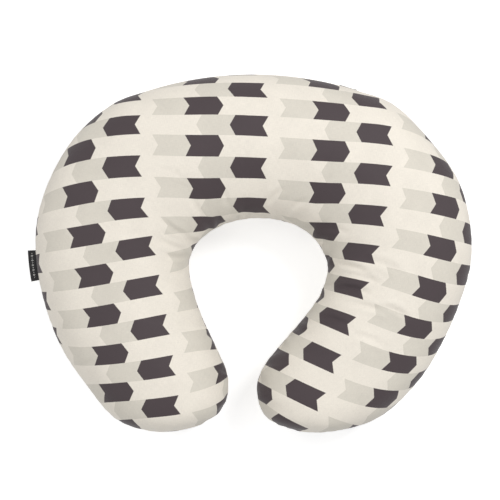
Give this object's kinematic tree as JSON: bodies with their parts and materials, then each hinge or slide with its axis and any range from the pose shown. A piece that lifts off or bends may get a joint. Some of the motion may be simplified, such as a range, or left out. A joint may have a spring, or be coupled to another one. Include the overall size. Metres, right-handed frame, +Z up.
{
  "type": "nursing pillow",
  "caption": "C-shaped stuffed nursing pillow in a printed cotton cover with a zip in its back seam.",
  "frame": {"origin": "middle of the base of the whole object's box, on the surface that the pillow lies on", "axes": "+Z up from the flat underside, +Y towards the closed back of the C, +X to the right arm"},
  "size_m": [0.568, 0.4562, 0.124],
  "materials": {
    "printed_cotton": "matte",
    "casing_cotton": "matte",
    "polyester_fibre": "matte",
    "black_label": "satin",
    "white_label": "satin",
    "zip_tape": "matte",
    "zip_coil": "satin",
    "zip_metal": "satin"
  },
  "bodies": {
    "pillow": {"cover_top_panel": "printed_cotton", "cover_bottom_panel": "printed_cotton", "casing_top_panel": "casing_cotton", "casing_bottom_panel": "casing_cotton", "fibre_fill": "polyester_fibre", "side_label": "black_label", "care_label": "white_label", "zip_tape_upper": "zip_tape", "zip_tape_lower": "zip_tape", "zip_teeth_upper": "zip_coil", "zip_teeth_lower": "zip_coil", "zip_top_stop_upper": "zip_metal", "zip_top_stop_lower": "zip_metal", "zip_bottom_stop": "zip_metal"},
    "slider": {"zip_slider": "zip_metal"},
    "pull": {"zip_pull_tab": "zip_metal"}
  },
  "joints": [
    {"name": "zip_travel", "type": "hinge", "parent": "pillow", "child": "slider", "pos_m": [0.00399, -0.21463, 0.058], "axis": [0, 0, 1], "range_deg": [0, 34.4]},
    {"name": "pull_swing", "type": "hinge", "parent": "slider", "child": "pull", "pos_m": [0.13511, 0.20894, 0.058], "axis": [0, 0, -1], "range_deg": [0, 180]}
  ]
}
